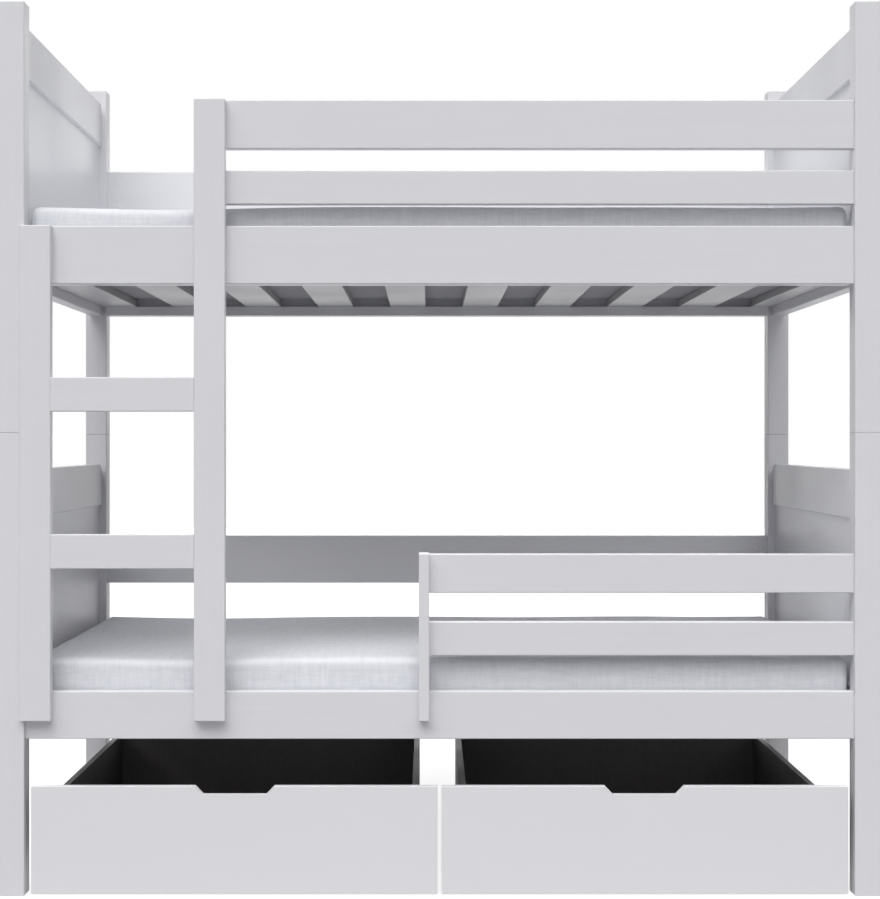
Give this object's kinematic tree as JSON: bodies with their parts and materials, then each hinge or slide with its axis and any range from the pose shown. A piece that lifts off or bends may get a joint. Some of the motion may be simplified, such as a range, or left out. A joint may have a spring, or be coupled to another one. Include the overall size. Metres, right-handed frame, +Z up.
{
  "type": "bunk bed",
  "caption": "White wooden bunk bed for children with a fixed front ladder, guard boards, slatted bases, mattresses and roll-out storage drawers on castors.",
  "frame": {"origin": "on the floor, at the middle of the whole bed seen from above", "axes": "+X to the right along the bed seen from the ladder side, +Y from the ladder side to the wall side, +Z up"},
  "size_m": [1.7, 0.912, 1.723],
  "materials": {
    "white_paint": "satin white paint over pine with faint grain",
    "drawer_white": "smooth white lacquered board",
    "black_board": "matt black faced board",
    "mattress_cloth": "slubby off-white woven cover",
    "zinc_steel": "zinc plated",
    "castor_black": "moulded black plastic",
    "bare_wood": "turned beech"
  },
  "bodies": {
    "frame": {"lower_post_front_left": "white_paint", "lower_post_front_right": "white_paint", "lower_post_back_left": "white_paint", "lower_post_back_right": "white_paint", "lower_end_top_rail_left": "white_paint", "lower_end_panel_left": "white_paint", "lower_end_top_rail_right": "white_paint", "lower_end_panel_right": "white_paint", "lower_end_bottom_rails": "white_paint", "lower_side_rail_front": "white_paint", "lower_side_rail_back": "white_paint", "lower_back_guard": "white_paint", "lower_guard_top_board": "white_paint", "lower_guard_low_board": "white_paint", "lower_slats": "white_paint", "lower_mattress": "mattress_cloth", "upper_post_front_left": "white_paint", "upper_post_front_right": "white_paint", "upper_post_back_left": "white_paint", "upper_post_back_right": "white_paint", "upper_end_top_rail_left": "white_paint", "upper_end_panel_left": "white_paint", "upper_end_top_rail_right": "white_paint", "upper_end_panel_right": "white_paint", "upper_end_bottom_rails": "white_paint", "upper_side_rail_front": "white_paint", "upper_side_rail_back": "white_paint", "upper_back_guard": "white_paint", "upper_guard_top_board": "white_paint", "upper_guard_low_board": "white_paint", "upper_slats": "white_paint", "upper_mattress": "mattress_cloth", "lower_guard_stile": "white_paint", "ladder_outer_upright": "white_paint", "ladder_inner_upright": "white_paint", "ladder_lower_rung": "white_paint", "ladder_upper_rung": "white_paint", "slat_ledgers": "white_paint", "stacking_pins": "bare_wood", "bed_bolts": "zinc_steel", "barrel_nuts": "zinc_steel", "wood_screws": "zinc_steel"},
    "drawer_left": {"drawer_left_front": "drawer_white", "drawer_left_side_left": "black_board", "drawer_left_side_right": "black_board", "drawer_left_back": "black_board", "drawer_left_bottom": "black_board", "drawer_left_screws": "zinc_steel", "drawer_left_castor_frames": "zinc_steel"},
    "drawer_left_front_wheels": {"drawer_left_front_wheels": "castor_black"},
    "drawer_left_rear_wheels": {"drawer_left_rear_wheels": "castor_black"},
    "drawer_right": {"drawer_right_front": "drawer_white", "drawer_right_side_left": "black_board", "drawer_right_side_right": "black_board", "drawer_right_back": "black_board", "drawer_right_bottom": "black_board", "drawer_right_screws": "zinc_steel", "drawer_right_castor_frames": "zinc_steel"},
    "drawer_right_front_wheels": {"drawer_right_front_wheels": "castor_black"},
    "drawer_right_rear_wheels": {"drawer_right_rear_wheels": "castor_black"}
  },
  "joints": [
    {"name": "drawer_left_slide", "type": "slide", "parent": "frame", "child": "drawer_left", "axis": [0, -1, 0], "range_m": [0, 0.7]},
    {"name": "drawer_left_front_wheels_roll", "type": "hinge", "parent": "drawer_left", "child": "drawer_left_front_wheels", "pos_m": [-0.3955, -0.356, 0.017], "axis": [1, 0, 0], "range_deg": [0, 2360]},
    {"name": "drawer_left_rear_wheels_roll", "type": "hinge", "parent": "drawer_left", "child": "drawer_left_rear_wheels", "pos_m": [-0.3955, 0.204, 0.017], "axis": [1, 0, 0], "range_deg": [0, 2360]},
    {"name": "drawer_right_slide", "type": "slide", "parent": "frame", "child": "drawer_right", "axis": [0, -1, 0], "range_m": [0, 0.7]},
    {"name": "drawer_right_front_wheels_roll", "type": "hinge", "parent": "drawer_right", "child": "drawer_right_front_wheels", "pos_m": [0.3955, -0.356, 0.017], "axis": [1, 0, 0], "range_deg": [0, 2360]},
    {"name": "drawer_right_rear_wheels_roll", "type": "hinge", "parent": "drawer_right", "child": "drawer_right_rear_wheels", "pos_m": [0.3955, 0.204, 0.017], "axis": [1, 0, 0], "range_deg": [0, 2360]}
  ],
  "couplings": [
    {"joint": "drawer_left_front_wheels_roll", "follows": "drawer_left_slide", "rad_per_m": 58.824},
    {"joint": "drawer_left_rear_wheels_roll", "follows": "drawer_left_slide", "rad_per_m": 58.824},
    {"joint": "drawer_right_front_wheels_roll", "follows": "drawer_right_slide", "rad_per_m": 58.824},
    {"joint": "drawer_right_rear_wheels_roll", "follows": "drawer_right_slide", "rad_per_m": 58.824}
  ]
}
